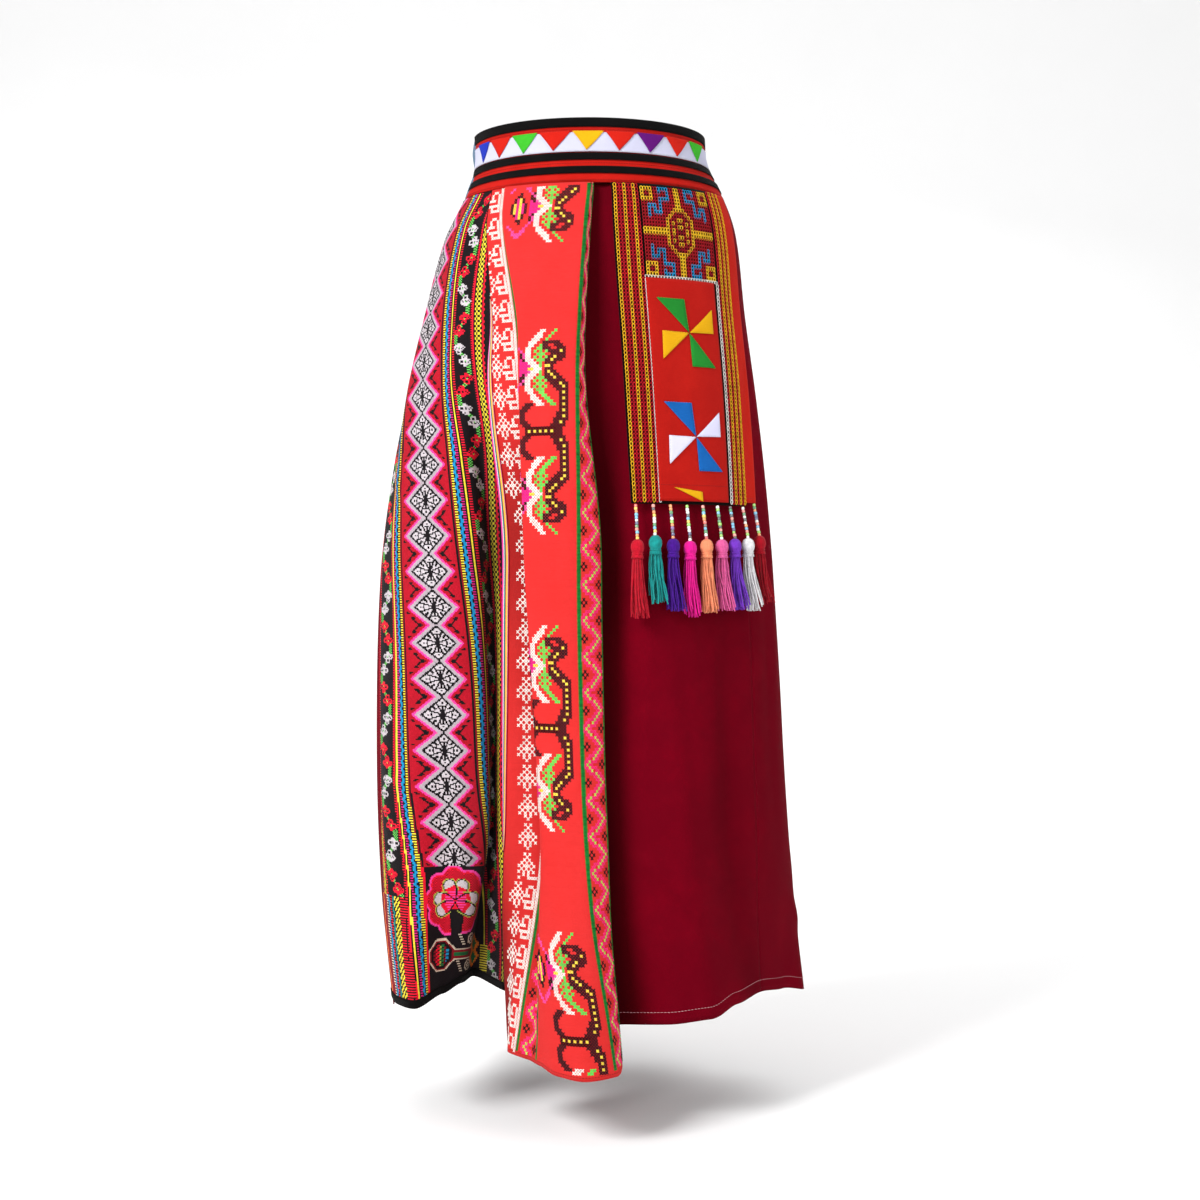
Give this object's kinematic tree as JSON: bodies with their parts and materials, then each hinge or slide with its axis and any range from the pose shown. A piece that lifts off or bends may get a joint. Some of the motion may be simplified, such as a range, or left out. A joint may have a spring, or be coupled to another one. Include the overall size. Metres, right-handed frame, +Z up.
{
  "type": "hmong skirt",
  "caption": "Long wrap skirt of embroidered and plain cloth panels on a banded waist, worn form, hollow, with a hanging embroidered flap, bead strings and yarn tassels.",
  "frame": {"origin": "centre of the waist opening at mid-height of the waistband", "axes": "+Z up through the waist, -Y towards the front of the worn skirt, +X to the right as seen from the front"},
  "size_m": [0.4488, 0.425, 0.939],
  "materials": {
    "panel_left": "woven cloth",
    "panel_front": "woven cloth",
    "panel_right": "woven cloth",
    "panel_back_right": "woven cloth",
    "panel_back_left": "woven cloth",
    "hem_binding": "woven cloth",
    "ribbon": "woven cloth",
    "waistband_front": "woven cloth",
    "top_binding": "woven cloth",
    "waistband_back": "woven cloth",
    "triangle_strip": "woven cloth",
    "upper_tape": "woven cloth",
    "lower_tape": "woven cloth",
    "band_triangle_1": "woven cloth",
    "band_triangle_2": "woven cloth",
    "band_triangle_3": "woven cloth",
    "band_triangle_4": "woven cloth",
    "band_triangle_5": "woven cloth",
    "band_triangle_6": "woven cloth",
    "band_triangle_7": "woven cloth",
    "band_triangle_8": "woven cloth",
    "band_triangle_9": "woven cloth",
    "flap_cloth": "woven cloth",
    "flap_side_strip": "woven cloth",
    "flap_centre": "woven cloth",
    "pinwheel_upper_1": "woven cloth",
    "pinwheel_upper_2": "woven cloth",
    "pinwheel_upper_3": "woven cloth",
    "pinwheel_upper_4": "woven cloth",
    "pinwheel_lower_1": "woven cloth",
    "pinwheel_lower_2": "woven cloth",
    "pinwheel_lower_3": "woven cloth",
    "pinwheel_lower_4": "woven cloth",
    "flap_low_patch": "woven cloth",
    "bead_string_1": "glazed seed beads",
    "tassel_1": "soft wool yarn",
    "bead_string_2": "glazed seed beads",
    "tassel_2": "soft wool yarn",
    "bead_string_3": "glazed seed beads",
    "tassel_3": "soft wool yarn",
    "bead_string_4": "glazed seed beads",
    "tassel_4": "soft wool yarn",
    "bead_string_5": "glazed seed beads",
    "tassel_5": "soft wool yarn",
    "bead_string_6": "glazed seed beads",
    "tassel_6": "soft wool yarn",
    "bead_string_7": "glazed seed beads",
    "tassel_7": "soft wool yarn",
    "bead_string_8": "glazed seed beads",
    "tassel_8": "soft wool yarn",
    "bead_string_9": "glazed seed beads",
    "tassel_9": "soft wool yarn"
  },
  "bodies": {
    "root": {"panel_left": "panel_left", "panel_front": "panel_front", "panel_right": "panel_right", "panel_back_right": "panel_back_right", "panel_back_left": "panel_back_left", "hem_binding": "hem_binding", "ribbon": "ribbon", "waistband_front": "waistband_front", "top_binding": "top_binding", "waistband_back": "waistband_back", "triangle_strip": "triangle_strip", "upper_tape": "upper_tape", "lower_tape": "lower_tape", "band_triangle_1": "band_triangle_1", "band_triangle_2": "band_triangle_2", "band_triangle_3": "band_triangle_3", "band_triangle_4": "band_triangle_4", "band_triangle_5": "band_triangle_5", "band_triangle_6": "band_triangle_6", "band_triangle_7": "band_triangle_7", "band_triangle_8": "band_triangle_8", "band_triangle_9": "band_triangle_9", "flap_cloth": "flap_cloth", "flap_side_strip": "flap_side_strip", "flap_centre": "flap_centre", "pinwheel_upper_1": "pinwheel_upper_1", "pinwheel_upper_2": "pinwheel_upper_2", "pinwheel_upper_3": "pinwheel_upper_3", "pinwheel_upper_4": "pinwheel_upper_4", "pinwheel_lower_1": "pinwheel_lower_1", "pinwheel_lower_2": "pinwheel_lower_2", "pinwheel_lower_3": "pinwheel_lower_3", "pinwheel_lower_4": "pinwheel_lower_4", "flap_low_patch": "flap_low_patch", "bead_string_1": "bead_string_1", "tassel_1": "tassel_1", "bead_string_2": "bead_string_2", "tassel_2": "tassel_2", "bead_string_3": "bead_string_3", "tassel_3": "tassel_3", "bead_string_4": "bead_string_4", "tassel_4": "tassel_4", "bead_string_5": "bead_string_5", "tassel_5": "tassel_5", "bead_string_6": "bead_string_6", "tassel_6": "tassel_6", "bead_string_7": "bead_string_7", "tassel_7": "tassel_7", "bead_string_8": "bead_string_8", "tassel_8": "tassel_8", "bead_string_9": "bead_string_9", "tassel_9": "tassel_9"}
  },
  "joints": []
}
